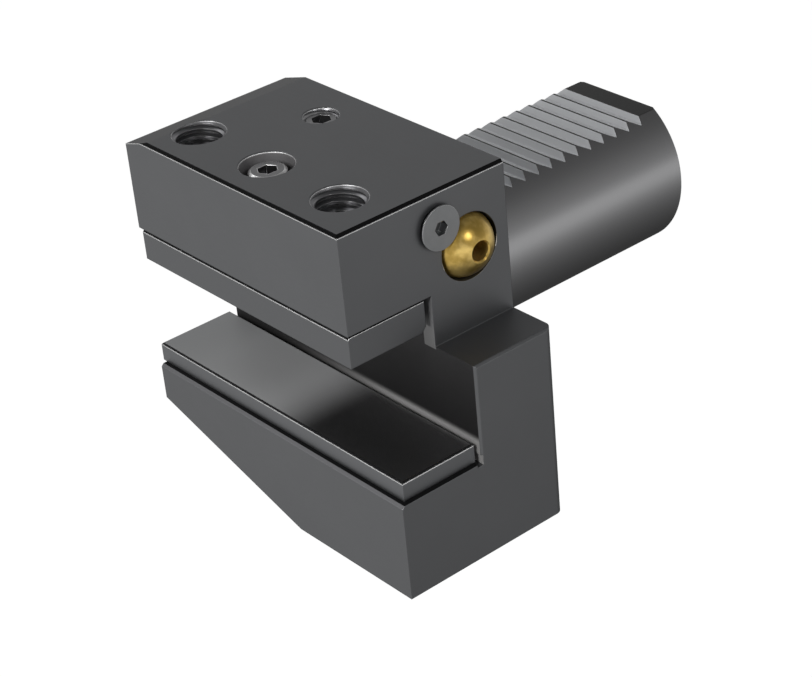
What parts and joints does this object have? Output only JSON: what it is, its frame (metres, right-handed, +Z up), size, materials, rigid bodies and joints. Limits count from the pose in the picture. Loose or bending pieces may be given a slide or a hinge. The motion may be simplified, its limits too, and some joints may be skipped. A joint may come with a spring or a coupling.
{
  "type": "vdi radial tool holder",
  "caption": "Lathe turret holder: serrated cylindrical shank, square head with a cross slot, screw-down clamping bar, support plate and swivel coolant nozzle.",
  "frame": {"origin": "where the shank axis meets the flange face", "axes": "+Y along the shank, away from the flange face; +X along the tool slot, towards the coolant nozzle; +Z up, the side of the rack on the shank"},
  "size_m": [0.0862, 0.107, 0.0813],
  "materials": {
    "blackened_steel": "milled and ground steel, black oxide, satin",
    "screw_steel": "black oxide screw steel, oiled",
    "bright_steel": "bright ground steel",
    "nozzle_brass": "turned brass, lightly polished",
    "seal_rubber": "smooth nitrile rubber"
  },
  "bodies": {
    "holder": {"holder_body": "blackened_steel", "support_plate": "blackened_steel", "left_plate_screw": "screw_steel", "right_plate_screw": "screw_steel", "left_plate_dowel": "bright_steel", "right_plate_dowel": "bright_steel", "top_channel_plug": "screw_steel", "spare_inlet_plug": "screw_steel", "inlet_seal_ring": "seal_rubber", "shank_seal_ring": "seal_rubber", "bar_return_spring": "bright_steel"},
    "clamp": {"clamping_bar": "blackened_steel", "bar_carrier_screw": "screw_steel", "spring_washer": "bright_steel"},
    "left_screw": {"left_clamping_screw": "screw_steel"},
    "right_screw": {"right_clamping_screw": "screw_steel"},
    "nozzle_spin_ring": {"nozzle_seal_ring": "seal_rubber"},
    "nozzle": {"nozzle_ball": "nozzle_brass"},
    "grip_screw": {"nozzle_grip_screw": "screw_steel"}
  },
  "joints": [
    {"name": "clamping_bar_travel", "type": "slide", "parent": "holder", "child": "clamp", "axis": [0, 0, -1], "range_m": [0, 0.005], "stiffness_N_per_m": 7000, "springref_m": -0.002, "deforming": ["bar_return_spring"]},
    {"name": "left_clamping_screw_turn", "type": "hinge", "parent": "clamp", "child": "left_screw", "pos_m": [-0.03005, -0.033, 0], "axis": [0, 0, -1], "range_deg": [0, 1060]},
    {"name": "right_clamping_screw_turn", "type": "hinge", "parent": "clamp", "child": "right_screw", "pos_m": [0.01795, -0.033, 0], "axis": [0, 0, -1], "range_deg": [0, 1060]},
    {"name": "nozzle_spin", "type": "hinge", "parent": "holder", "child": "nozzle_spin_ring", "pos_m": [0.0269, -0.0107, 0.017], "axis": [1, 0, 0], "continuous": true},
    {"name": "nozzle_tilt", "type": "hinge", "parent": "nozzle_spin_ring", "child": "nozzle", "pos_m": [0.0269, -0.0107, 0.017], "axis": [0, 1, 0], "range_deg": [-20, 20]},
    {"name": "nozzle_grip_screw_turn", "type": "hinge", "parent": "holder", "child": "grip_screw", "pos_m": [0.0316, -0.01865, 0.02475], "axis": [1, 0, 0], "range_deg": [0, 360]}
  ],
  "couplings": [
    {"joint": "left_clamping_screw_turn", "follows": "clamping_bar_travel", "rad_per_m": 3590.4},
    {"joint": "right_clamping_screw_turn", "follows": "clamping_bar_travel", "rad_per_m": 3590.4}
  ]
}
